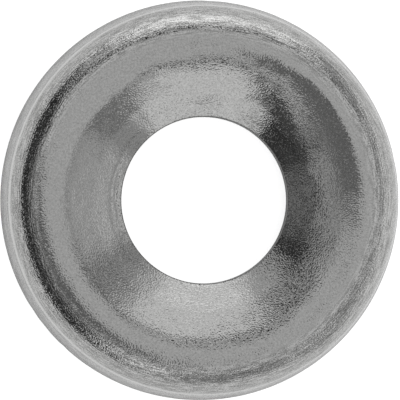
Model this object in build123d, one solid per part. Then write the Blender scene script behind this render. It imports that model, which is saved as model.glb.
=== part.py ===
from build123d import *
import os
from math import cos, radians, sin, tan

# Countersunk cup washer, a single ring pressed from flat sheet, display side up.
# Its section is one strip of sheet: a leaning skirt stands on the base plane, turns over
# a shoulder that tightens towards the crest, rolls down to a gentler lip, and runs as a
# bell-mouthed cone to the hole, which is pierced straight along the axis.
# Frame: origin on the base plane at the axis, +Z up the axis. Millimetres and degrees.

# Overall sizes
outer_diameter = 15.0        # across the bottom of the skirt
overall_height = 2.8         # base plane to crest
sheet_thickness = 0.5
hole_diameter = 6.2          # passes the shank of the screw

# Skirt, side and shoulder, display side
skirt_draft = 9.0            # lean of the skirt from upright
side_radius = 2.45
shoulder_radius = 1.12
shoulder_turn = 55.0         # angle the shoulder turns through, down from the crest

# Crest to hole, display side: a radius and the angle it turns through, for each bend
roll_radius = 1.15
roll_turn = 16.0
lip_radius = 3.05
lip_turn = 12.0
bell_radius = 16.0
bell_turn = 5.0

# Lower edge of the hole, held clear of the base plane so that the skirt clamps first
foot_clearance = 0.77

# Broken edges, as tumbling leaves them
base_edge_radius = 0.08
hole_edge_radius = 0.1


def arc_run(radius, start, turn):
    """Width covered by an arc that begins at the slope start and steepens by turn."""
    return radius * (sin(radians(start + turn)) - sin(radians(start)))


def arc_fall(radius, start, turn):
    """Height lost over the same arc."""
    return radius * (cos(radians(start)) - cos(radians(start + turn)))


# Tied sizes: outer side
outer_radius = outer_diameter / 2
side_turn = 90 - skirt_draft - shoulder_turn
side_fall = arc_fall(shoulder_radius, 0, shoulder_turn) + arc_fall(side_radius, shoulder_turn, side_turn)
side_run = arc_run(shoulder_radius, 0, shoulder_turn) + arc_run(side_radius, shoulder_turn, side_turn)
skirt_top = overall_height - side_fall
skirt_run = skirt_top * tan(radians(skirt_draft))
crest_radius = outer_radius - skirt_run - side_run

# Tied sizes: countersink. The land at the crest takes up what width the cone has to spare,
# so that the cone's foot keeps its clearance; there is always a narrow one.
hole_radius = hole_diameter / 2
bell_slope = roll_turn + lip_turn
cone_slope = bell_slope + bell_turn
mouth_fall = arc_fall(roll_radius, 0, roll_turn) + arc_fall(lip_radius, roll_turn, lip_turn)
mouth_run = arc_run(roll_radius, 0, roll_turn) + arc_run(lip_radius, roll_turn, lip_turn)
bell_fall = arc_fall(bell_radius, bell_slope, bell_turn)
bell_run = arc_run(bell_radius, bell_slope, bell_turn)
cone_fall = (crest_radius - mouth_run - bell_run - hole_radius) * tan(radians(cone_slope))
foot_drop = mouth_fall + bell_fall + cone_fall + sheet_thickness / cos(radians(cone_slope))
spare_fall = foot_drop + foot_clearance - overall_height
crest_land = max(sheet_thickness / 8, spare_fall / tan(radians(cone_slope)))


def outer_side():
    """Lines from the crest outwards and down the skirt, to just below the base plane."""
    crest = (crest_radius, overall_height)
    shoulder = JernArc(crest, (1, 0), shoulder_radius, -shoulder_turn)
    side = JernArc(shoulder @ 1, shoulder % 1, side_radius, -side_turn)
    skirt_length = (skirt_top + sheet_thickness) / cos(radians(skirt_draft))
    skirt = PolarLine(side @ 1, skirt_length, direction=side % 1)
    return [shoulder, side, skirt]


def inner_side():
    """Lines from the crest inwards and down the countersink, on across the hole."""
    crest = (crest_radius, overall_height)
    land = Line(crest, (crest_radius - crest_land, overall_height))
    roll = JernArc(land @ 1, land % 1, roll_radius, roll_turn)
    lip = JernArc(roll @ 1, roll % 1, lip_radius, lip_turn)
    bell = JernArc(lip @ 1, lip % 1, bell_radius, bell_turn)
    cone = PolarLine(bell @ 1, hole_diameter, direction=bell % 1)
    return [land, roll, lip, bell, cone]


def sheet_section():
    """Face of the pressed strip, trimmed at the base plane and at the hole."""
    display_side = Wire(outer_side() + inner_side())
    strip = make_face(offset(display_side, sheet_thickness, side=Side.RIGHT, closed=True))
    kept = Rectangle(outer_diameter, 2 * overall_height, align=(Align.MIN, Align.MIN))
    return strip & Pos(hole_radius, 0) * kept


def broken_edges(section):
    """Round the hole's display side corner and both corners of the base edge."""
    hole_corner = section.vertices().filter_by_position(
        Axis.X, hole_radius - 1e-6, hole_radius + 1e-6
    ).sort_by(Axis.Y)[-1]
    section = fillet(hole_corner, hole_edge_radius)
    base_corners = section.vertices().filter_by_position(Axis.Y, -1e-6, 1e-6)
    return fillet(base_corners, base_edge_radius)


def cup_washer():
    section = broken_edges(sheet_section())
    return revolve(Plane.XZ * section, Axis.Z)


os.makedirs("parts", exist_ok=True)
washer = cup_washer()
export_step(washer, "parts/cup_washer.step")
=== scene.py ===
from math import cos, hypot, pi, radians, sin, tan

import bmesh
import bpy
from mathutils import Matrix, Vector


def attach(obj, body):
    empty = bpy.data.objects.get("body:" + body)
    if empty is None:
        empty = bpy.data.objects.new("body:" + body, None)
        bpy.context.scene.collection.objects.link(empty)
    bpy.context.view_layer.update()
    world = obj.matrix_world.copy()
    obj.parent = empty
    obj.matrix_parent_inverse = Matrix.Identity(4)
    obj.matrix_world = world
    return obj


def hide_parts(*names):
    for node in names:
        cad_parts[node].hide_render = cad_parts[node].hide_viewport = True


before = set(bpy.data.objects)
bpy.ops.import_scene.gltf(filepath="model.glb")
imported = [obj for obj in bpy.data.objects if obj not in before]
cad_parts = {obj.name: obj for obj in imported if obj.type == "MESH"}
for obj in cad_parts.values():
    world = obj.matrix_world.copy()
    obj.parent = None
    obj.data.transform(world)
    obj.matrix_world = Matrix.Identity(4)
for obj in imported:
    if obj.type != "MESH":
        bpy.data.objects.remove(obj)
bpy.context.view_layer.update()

# Countersunk cup washer, pressed from stainless strip and tumbled, lying display side up on
# white card and seen from almost straight above. Sizes are in millimetres until they are
# handed to Blender, which works in metres.
MM = 0.001


# The washer's section, in the same sizes as the pressed solid

OUTER_RADIUS = 7.5           # foot of the skirt, before its edge is broken
HEIGHT = 2.8
SHEET = 0.5
HOLE_RADIUS = 3.1
SKIRT_DRAFT = 9.0
FOOT_CLEARANCE = 0.77        # lower edge of the hole above the floor
BASE_EDGE = 0.08             # radii of the two broken edges
HOLE_EDGE = 0.1
# Radius, turn in degrees and drawing steps of each bend, downhill from the crest
OUTWARD_BENDS = ((1.12, 55.0, 40), (2.45, 26.0, 14))
INWARD_BENDS = ((1.15, 16.0, 12), (3.05, 12.0, 12), (16.0, 5.0, 10))

AROUND = 384                 # steps of the spin, fine enough for an even reflection

# Marks of the press, as the pushes that leave them, and of knocks, as azimuth and depth
CREST_SHIFT = (0.07, 0.05, 0)
HOLE_SHIFT = (0.06, 0, 0)
NICKS = ((213, 0.012), (219, 0.008), (227, 0.014), (12, 0.01), (87, 0.012))
NICK_RADIUS = 7.45           # where they lie, at the foot
NICK_SIZE = 0.1


def fall_and_run(bends):
    """Height lost and width covered by bends that follow each other down from level."""
    slope, fall, run = 0.0, 0.0, 0.0
    for radius, turn, _ in bends:
        fall += radius * (cos(radians(slope)) - cos(radians(slope + turn)))
        run += radius * (sin(radians(slope + turn)) - sin(radians(slope)))
        slope += turn
    return fall, run


side_fall, side_run = fall_and_run(OUTWARD_BENDS)
mouth_fall, mouth_run = fall_and_run(INWARD_BENDS)
crest_radius = OUTER_RADIUS - (HEIGHT - side_fall) * tan(radians(SKIRT_DRAFT)) - side_run
cone_slope = sum(turn for _, turn, _ in INWARD_BENDS)
skirt_length = (HEIGHT - side_fall) / cos(radians(SKIRT_DRAFT))
hole_wall = SHEET / cos(radians(cone_slope))
# The land at the crest takes up what width the cone has to spare over its clearance
widest_cone = crest_radius - mouth_run - HOLE_RADIUS
foot_drop = mouth_fall + widest_cone * tan(radians(cone_slope)) + hole_wall
crest_land = (foot_drop + FOOT_CLEARANCE - HEIGHT) / tan(radians(cone_slope))
cone_run = widest_cone - crest_land
# A round edge takes this much off each of the two lines that meet there
outer_trim = BASE_EDGE * tan(radians((90 + SKIRT_DRAFT) / 2))
inner_trim = BASE_EDGE * tan(radians((90 - SKIRT_DRAFT) / 2))
hole_trim = HOLE_EDGE * tan(radians((90 - cone_slope) / 2))
base_width = SHEET / cos(radians(SKIRT_DRAFT))
inner_skirt = skirt_length - SHEET * tan(radians(SKIRT_DRAFT))
under_cone = cone_run / cos(radians(cone_slope)) + SHEET * tan(radians(cone_slope))


def deselect_all():
    bpy.ops.object.select_all(action="DESELECT")


def edit_mesh(obj):
    return bmesh.from_edit_mesh(obj.data)


def line(obj, length, heading):
    """Draw on from the selected point; heading is in degrees, 0 outwards and 90 up."""
    h = radians(heading)
    step = (length * cos(h) * MM, 0, length * sin(h) * MM)
    bpy.ops.mesh.extrude_region_move(TRANSFORM_OT_translate={"value": step})


def bend(obj, radius, heading, turn, steps):
    """Draw an arc on from the selected point, to the left for a turn above 0."""
    point = next(v.co.copy() for v in edit_mesh(obj).verts if v.select)
    h = radians(heading + (90 if turn > 0 else -90))
    centre = point + Vector((cos(h), 0, sin(h))) * radius * MM
    bpy.ops.mesh.spin(steps=steps, angle=radians(turn), center=centre, axis=(0, 1, 0))
    return heading + turn


def draw_section(obj):
    """One turn round the sheet's outline, from the crest outwards, under it and back."""
    heading = 0.0
    for radius, turn, steps in OUTWARD_BENDS:
        heading = bend(obj, radius, heading, -turn, steps)
    line(obj, skirt_length - outer_trim, heading)
    heading = bend(obj, BASE_EDGE, heading, -(90 + SKIRT_DRAFT), 8)
    line(obj, base_width - outer_trim - inner_trim, heading)
    heading = bend(obj, BASE_EDGE, heading, -(90 - SKIRT_DRAFT), 6)
    line(obj, inner_skirt - inner_trim, heading)
    for radius, turn, steps in reversed(OUTWARD_BENDS):
        heading = bend(obj, radius - SHEET, heading, turn, steps // 2)
    line(obj, crest_land, heading)
    for radius, turn, steps in INWARD_BENDS:
        heading = bend(obj, radius - SHEET, heading, turn, steps // 2)
    line(obj, under_cone, heading)
    heading -= 90 + cone_slope
    line(obj, hole_wall - hole_trim, heading)
    heading = bend(obj, HOLE_EDGE, heading, cone_slope - 90, 6)
    line(obj, cone_run / cos(radians(cone_slope)) - hole_trim, heading)
    for radius, turn, steps in reversed(INWARD_BENDS):
        heading = bend(obj, radius, heading, -turn, steps)
    line(obj, crest_land, heading)


def press_washer():
    """Draw the section as one line, then spin it round the axis into the washer."""
    deselect_all()
    bpy.ops.mesh.primitive_circle_add(vertices=3, radius=MM)
    washer = bpy.context.object
    washer.name = "washer"
    bpy.ops.object.mode_set(mode="EDIT")
    bpy.ops.mesh.select_mode(type="VERT")
    bpy.ops.mesh.select_all(action="SELECT")
    bpy.ops.mesh.merge(type="CENTER")
    bpy.ops.transform.translate(value=(crest_radius * MM, 0, HEIGHT * MM))
    draw_section(washer)
    bpy.ops.mesh.select_all(action="SELECT")
    bpy.ops.mesh.remove_doubles(threshold=0.001 * MM)
    bpy.ops.mesh.select_all(action="SELECT")
    bpy.ops.mesh.spin(steps=AROUND, angle=2 * pi, center=(0, 0, 0), axis=(0, 0, 1))
    bpy.ops.mesh.select_all(action="SELECT")
    bpy.ops.mesh.remove_doubles(threshold=0.001 * MM)
    bpy.ops.mesh.normals_make_consistent(inside=False)
    return washer


def nudge(obj, test, shift, reach):
    """Push the points that pass a test, and their surroundings within reach, by a shift."""
    bpy.ops.mesh.select_all(action="DESELECT")
    shape = edit_mesh(obj)
    for v in shape.verts:
        v.select = test(v.co / MM)
    shape.select_flush_mode()
    bmesh.update_edit_mesh(obj.data)
    bpy.ops.transform.translate(
        value=tuple(s * MM for s in shift), use_proportional_edit=True,
        proportional_edit_falloff="SMOOTH", proportional_size=reach * MM,
    )


def leave_press_marks(washer):
    """The die and the punch sat a little off centre, and the foot has been knocked about."""
    nudge(washer, lambda p: 5.4 < hypot(p.x, p.y) < 6.5, CREST_SHIFT, 1.2)
    nudge(washer, lambda p: hypot(p.x, p.y) < 3.25, HOLE_SHIFT, 1.0)
    for azimuth, depth in NICKS:
        outwards = Vector((cos(radians(azimuth)), sin(radians(azimuth)), 0))
        place = outwards * NICK_RADIUS
        nudge(washer, lambda p: (p - place).length < NICK_SIZE, -outwards * depth, 0.25)
    bpy.ops.object.mode_set(mode="OBJECT")
    bpy.ops.object.shade_smooth_by_angle(angle=radians(35))


washer = press_washer()
leave_press_marks(washer)


# Finishes

def linear(hex_colour):
    """An sRGB hex colour as the linear values that shaders take."""
    parts = [int(hex_colour[i:i + 2], 16) / 255 for i in (1, 3, 5)]
    return tuple(c / 12.92 if c <= 0.04045 else ((c + 0.055) / 1.055) ** 2.4 for c in parts) + (1,)


def add_node(tree, kind, settings=None, **links):
    """Add a node; settings are its own, links are sockets given a value or another's output."""
    node = tree.nodes.new(kind)
    for name, value in (settings or {}).items():
        setattr(node, name, value)
    for name, value in links.items():
        key = int(name[1:]) if name[1:].isdigit() else name.replace("_", " ")
        socket = node.inputs[key]
        if isinstance(value, bpy.types.NodeSocket):
            tree.links.new(value, socket)
        else:
            socket.default_value = value
    return node


def new_material(name):
    material = bpy.data.materials.new(name)
    material.use_nodes = True
    material.node_tree.nodes.clear()
    return material, material.node_tree


def tumbled_stainless():
    """Stainless strip, pressed and then tumbled. The stone media leaves a satin skin of fine
    dimples that glints where a dark reflection meets a bright one, over the orange peel of
    the stretched sheet. Small matt pits speckle it. The shoulder is scuffed in rings, and
    where the tools rubbed, round the skirt and at the hole's edge, it is burnished in lines.
    A pale band round the top of the skirt is a painted highlight."""
    material, tree = new_material("tumbled stainless steel")
    place = add_node(tree, "ShaderNodeTexCoord").outputs["Object"]

    def math(operation, a, b):
        return add_node(tree, "ShaderNodeMath", {"operation": operation}, _0=a, _1=b).outputs[0]

    def total(value, *others):
        for other in others:
            value = math("ADD", value, other)
        return value

    def noise(size, detail=0.0, vector=place):
        """Noise with cells of this size in millimetres."""
        return add_node(tree, "ShaderNodeTexNoise", Vector=vector, Scale=1 / (size * MM),
                        Detail=detail).outputs["Fac"]

    def fade(value, start, end, low=0.0, high=1.0):
        """Ease from low at start to high at end; start and end are in millimetres."""
        return add_node(tree, "ShaderNodeMapRange", {"interpolation_type": "SMOOTHSTEP"},
                        Value=value, From_Min=start * MM, From_Max=end * MM,
                        To_Min=low, To_Max=high).outputs[0]

    # Ways to measure the place: from the axis, squeezed so that noise runs in lines round
    # the skirt, and along the section so that it runs in rings down over the shoulder
    axes = add_node(tree, "ShaderNodeSeparateXYZ", Vector=place)
    x, y, z = axes.outputs["X"], axes.outputs["Y"], axes.outputs["Z"]
    flat = add_node(tree, "ShaderNodeVectorMath", {"operation": "MULTIPLY"},
                    _0=place, _1=(1, 1, 0)).outputs[0]
    radius = add_node(tree, "ShaderNodeVectorMath", {"operation": "LENGTH"},
                      _0=flat).outputs["Value"]
    around = add_node(tree, "ShaderNodeVectorMath", {"operation": "MULTIPLY"},
                      _0=place, _1=(0.08, 0.08, 1)).outputs[0]
    along_section = math("SUBTRACT", radius, math("MULTIPLY", z, 0.7))
    in_rings = add_node(tree, "ShaderNodeCombineXYZ", X=along_section, Y=math("MULTIPLY", x, 0.1),
                        Z=math("MULTIPLY", y, 0.1)).outputs[0]
    # Zones: 1 inside and 0 outside
    outside = fade(radius, 6.6, 6.8)
    skirt = math("MULTIPLY", fade(z, 1.5, 1.25), outside)
    hole_edge = math("MULTIPLY", fade(radius, 3.6, 3.4), fade(x, -2.2, -3.0))
    # A band round the top of the skirt, for the painted highlight
    painted_highlight_line = math("MULTIPLY", math("MULTIPLY", fade(z, 1.78, 1.6), fade(z, 1.42, 1.56)), outside)
    scuffed = fade(radius, 5.9, 6.4, 0.0, 0.85)

    # Heights in millimetres. Tumbling dimples are 5 to 30 micrometres across, and are drawn
    # here at 55 so that they show at the size of the picture. They are deepest in front and
    # round the shoulder, where the sheet was stretched most, and rubbed away on the skirt.
    depth = total(fade(y, 3.0, -3.0, 0.004, 0.0085), fade(radius, 6.0, 6.7, 0.0, 0.006))
    depth = math("MULTIPLY", depth, math("SUBTRACT", 1.0, math("MULTIPLY", skirt, 0.75)))
    dimples = math("MULTIPLY", noise(0.055), depth)
    peel = math("MULTIPLY", noise(0.45), 0.009)
    waves = math("MULTIPLY", noise(1.4), 0.045)
    # Lines drawn round the skirt, and grooves rubbed round the shoulder and the hole's edge
    drawn_lines = math("MULTIPLY", noise(0.09, 1.0, around), math("MULTIPLY", skirt, 0.009))
    groove = total(fade(radius, 6.1, 6.6, 0.0018, 0.008), math("MULTIPLY", hole_edge, 0.015))
    rings = math("MULTIPLY", noise(0.07, vector=in_rings), groove)
    # The countersink is a touch steeper between these radii
    step = fade(radius, 3.5, 4.2, 0.0, 0.026)
    height = total(dimples, peel, waves, drawn_lines, rings, step)
    bump = add_node(tree, "ShaderNodeBump", Height=height, Distance=MM, Strength=1.0)

    # Colour: mottled all over, streaked where scuffed, and a painted highlight round the skirt's top
    mottle = add_node(tree, "ShaderNodeMapRange", Value=noise(0.07, 1.0),
                      From_Min=0.3, From_Max=0.7).outputs[0]
    mottled = add_node(tree, "ShaderNodeMix", {"data_type": "RGBA"}, _0=mottle,
                       _6=linear("#A2A2A1"), _7=linear("#B8B8B7")).outputs[2]
    scuff = add_node(tree, "ShaderNodeMapRange",
                     Value=total(noise(0.05, vector=in_rings), noise(0.045)),
                     From_Min=0.75, From_Max=1.25).outputs[0]
    dragged = add_node(tree, "ShaderNodeMix", {"data_type": "RGBA"}, _0=scuff,
                       _6=linear("#868685"), _7=linear("#CFCFCE")).outputs[2]
    worn = add_node(tree, "ShaderNodeMix", {"data_type": "RGBA"}, _0=scuffed,
                    _6=mottled, _7=dragged).outputs[2]
    # Painted highlight: a pale band round the top of the skirt
    colour = add_node(tree, "ShaderNodeMix", {"data_type": "RGBA"}, _0=painted_highlight_line,
                      _6=worn, _7=linear("#D8D8D7")).outputs[2]
    # Roughness: bright between the pits and matt in them, drawn coarser as the dimples are
    pitted = add_node(tree, "ShaderNodeMapRange", {"interpolation_type": "SMOOTHSTEP"},
                      Value=noise(0.055, 1.0), From_Min=0.49, From_Max=0.68,
                      To_Min=0.04, To_Max=0.36).outputs[0]
    shader = add_node(tree, "ShaderNodeBsdfPrincipled", Base_Color=colour, Metallic=1.0,
                      Roughness=pitted, Normal=bump.outputs["Normal"])
    add_node(tree, "ShaderNodeOutputMaterial", Surface=shader.outputs[0])
    return material


washer.data.materials.append(tumbled_stainless())
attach(washer, "root")
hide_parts("cup_washer")


# Studio: white card, soft boxes and what stands dark between them

def unlit(name, radiance):
    """A glowing or black surface that the camera looks through."""
    material, tree = new_material(name)
    path = add_node(tree, "ShaderNodeLightPath")
    glow = add_node(tree, "ShaderNodeEmission", Color=(1, 1, 1, 1), Strength=radiance)
    clear = add_node(tree, "ShaderNodeBsdfTransparent")
    mixed = add_node(tree, "ShaderNodeMixShader", Fac=path.outputs["Is Camera Ray"],
                     _1=glow.outputs[0], _2=clear.outputs[0])
    add_node(tree, "ShaderNodeOutputMaterial", Surface=mixed.outputs[0])
    return material


def card(name, azimuth, zenith, width, height, radiance, distance=0.6, roll=0.0):
    """A flat rectangle facing the washer; azimuth is anticlockwise from the right, and
    width and height are the angles that it covers, all in degrees. Distance is in metres."""
    deselect_all()
    bpy.ops.mesh.primitive_plane_add(size=1)
    obj = bpy.context.object
    obj.name = name
    a, z = radians(azimuth), radians(zenith)
    towards = Vector((sin(z) * cos(a), sin(z) * sin(a), cos(z)))
    across = Vector((-sin(a), cos(a), 0))
    up = towards.cross(across)
    turn = Matrix((across, up, towards)).transposed().to_4x4()
    wide, high = (2 * distance * tan(radians(angle / 2)) for angle in (width, height))
    rolled = turn @ Matrix.Rotation(radians(roll), 4, "Z")
    size = Matrix.Diagonal((wide, high, 1, 1))
    obj.data.transform(Matrix.Translation(towards * distance) @ rolled @ size)
    obj.data.materials.append(unlit(name, radiance))


def overhead(name, across, along, height, radiance):
    """A level card above the washer; across and along are its reach in x and y, in mm."""
    deselect_all()
    bpy.ops.mesh.primitive_plane_add(size=1)
    obj = bpy.context.object
    obj.name = name
    size = Matrix.Diagonal(((across[1] - across[0]) * MM, (along[1] - along[0]) * MM, 1, 1))
    middle = Vector((sum(across) / 2, sum(along) / 2, height)) * MM
    obj.data.transform(Matrix.Translation(middle) @ size)
    obj.data.materials.append(unlit(name, radiance))


CARD_TO_CAMERA = 0.8         # glow of the white card, as the camera and the steel see it
CARD_TO_STEEL = 0.34
ROOM_TO_STEEL = 0.055
FLOOR_SIZE = (107, 130)      # mm
FLOOR_MIDDLE = (34.5, 35)


def white_card():
    """Matt white card. To the camera it is a clean white that keeps the washer's shadow, and
    the steel shows some of that too, except under the washer and just round its foot, where
    that glow is cut away as a painted shade of the washer."""
    material, tree = new_material("matt white card")
    path = add_node(tree, "ShaderNodeLightPath")
    place = add_node(tree, "ShaderNodeTexCoord").outputs["Object"]
    radius = add_node(tree, "ShaderNodeVectorMath", {"operation": "LENGTH"},
                      _0=place).outputs["Value"]
    # Glow for the steel, cut away under the washer and just round its foot: painted shade
    steel_glow_with_painted_shade = add_node(tree, "ShaderNodeMapRange", {"interpolation_type": "SMOOTHSTEP"},
                         Value=radius, From_Min=7.4 * MM, From_Max=7.7 * MM,
                         To_Max=CARD_TO_STEEL).outputs[0]
    to_camera = add_node(tree, "ShaderNodeMath", {"operation": "MULTIPLY"},
                         _0=path.outputs["Is Camera Ray"], _1=CARD_TO_CAMERA).outputs[0]
    to_steel = add_node(tree, "ShaderNodeMath", {"operation": "MULTIPLY"},
                        _0=path.outputs["Is Glossy Ray"], _1=steel_glow_with_painted_shade).outputs[0]
    white = add_node(tree, "ShaderNodeMath", {"operation": "ADD"}, _0=to_camera, _1=to_steel)
    matt = add_node(tree, "ShaderNodeBsdfDiffuse", Color=linear("#F2F2F2"))
    glow = add_node(tree, "ShaderNodeEmission", Color=(1, 1, 1, 1), Strength=white.outputs[0])
    lit = add_node(tree, "ShaderNodeAddShader", _0=matt.outputs[0], _1=glow.outputs[0])
    add_node(tree, "ShaderNodeOutputMaterial", Surface=lit.outputs[0])
    return material


def lay_floor():
    deselect_all()
    bpy.ops.mesh.primitive_plane_add(size=1)
    floor = bpy.context.object
    floor.name = "card_floor"
    size = Matrix.Diagonal((FLOOR_SIZE[0] * MM, FLOOR_SIZE[1] * MM, 1, 1))
    floor.data.transform(Matrix.Translation(Vector((*FLOOR_MIDDLE, 0)) * MM) @ size)
    floor.data.materials.append(white_card())


def dim_room():
    """Beyond the soft boxes the room is dim; the camera sees plain white."""
    world = bpy.data.worlds.new("dim_room")
    world.use_nodes = True
    tree = world.node_tree
    tree.nodes.clear()
    path = add_node(tree, "ShaderNodeLightPath")
    white = add_node(tree, "ShaderNodeBackground", Color=(1, 1, 1, 1), Strength=1.0)
    dim = add_node(tree, "ShaderNodeBackground", Color=(1, 1, 1, 1), Strength=ROOM_TO_STEEL)
    mixed = add_node(tree, "ShaderNodeMixShader", Fac=path.outputs["Is Camera Ray"],
                     _1=dim.outputs[0], _2=white.outputs[0])
    add_node(tree, "ShaderNodeOutputWorld", Surface=mixed.outputs[0])
    bpy.context.scene.world = world


lay_floor()
dim_room()
# Where two cards overlap as the washer sees them, the nearer one hides the other. Cards within
# 40 mm of the washer only serve single bands in the photo's reflections; a real studio need
# not have had them.
# Above: a diffuser, dimmer at its left end, and the camera with its arm dark in front of it
overhead("ceiling_diffuser", (-330, 440), (-435, 325), 400, 0.74)
overhead("ceiling_left_end", (-450, -330), (-420, 325), 400, 0.46)
overhead("camera_body", (-112, -8), (-100, -8), 150, 0.22)
overhead("camera_arm", (-290, -110), (-200, 30), 298, 0.25)
# To its left, where the room is dim: two small reflectors close in and a faint haze
card("left_reflector", 181, 46, 36, 10, 0.54, distance=0.04)
card("left_low_reflector", 178, 60, 36, 10, 0.31, distance=0.025)
card("left_haze", 213, 61, 40, 9, 0.1, distance=0.56)
# Behind the washer, soft boxes and a reflector that lies close to it, just over the floor
card("back_soft_box", 82.5, 72.5, 61, 52, 1.05, distance=0.56)
card("back_strip", 85, 85, 50, 27, 1.55, distance=0.54)
overhead("back_reflector", (-16, 20), (13.5, 45), 0.2, 1.3)
card("back_left_box", 123.5, 70.5, 24, 29, 0.64, distance=0.57)
# To its right, soft boxes before a wall, two darker flags, and two dim stands close in
card("right_wall", 354, 72, 108, 56, 0.5, distance=0.64)
card("right_soft_box", 0, 76, 46, 36, 0.62, distance=0.56)
card("right_low_box", 0, 85, 46, 28, 0.92, distance=0.54)
card("right_flag", 32, 56, 12, 26, 0.25, distance=0.30)
card("front_right_flag", 322, 59, 20, 15, 0.31, distance=0.32)
card("right_stand", 46, 87, 14, 20, 0.42, distance=0.014)
card("front_right_stand", 314, 87, 14, 20, 0.42, distance=0.014)
# In front, a soft box before a wall, with darker gaps and a flag; close in, a small bright
# box and a dim bar
card("front_wall", 284, 72, 80, 56, 0.5, distance=0.62)
card("front_gap", 270, 44.5, 84, 4.5, 0.15, distance=0.53)
card("front_soft_box", 282, 64, 59, 33, 1.06, distance=0.54, roll=-5.0)
card("front_left_flag", 236, 53.5, 22, 9, 0.1, distance=0.5)
card("front_right_gap", 303, 54, 18, 8, 0.6, distance=0.5)
card("front_left_box", 243, 66.7, 14, 16, 1.0, distance=0.025)
card("front_bar", 281, 69.5, 38, 14, 0.36, distance=0.012)


# Camera

CAMERA_DISTANCE = 165.0
CAMERA_TILT = 5.0            # leans to the left of straight above
FRAME_WIDTH = 14.99          # of the floor, across the picture
SENSOR = 36.0

bpy.ops.object.camera_add()
camera = bpy.context.object
aim = Vector((0.0034, 0.010, 0)) * MM      # a hair off the axis, as the photo is framed
tilt = radians(CAMERA_TILT)
camera.location = aim + Vector((-sin(tilt), 0, cos(tilt))) * CAMERA_DISTANCE * MM
camera.rotation_euler = (0, -tilt, 0)
camera.data.sensor_width = SENSOR
camera.data.lens = SENSOR * CAMERA_DISTANCE / FRAME_WIDTH
camera.data.clip_start = 0.01
camera.data.clip_end = 10
scene = bpy.context.scene
scene.camera = camera
scene.view_settings.view_transform = "Standard"
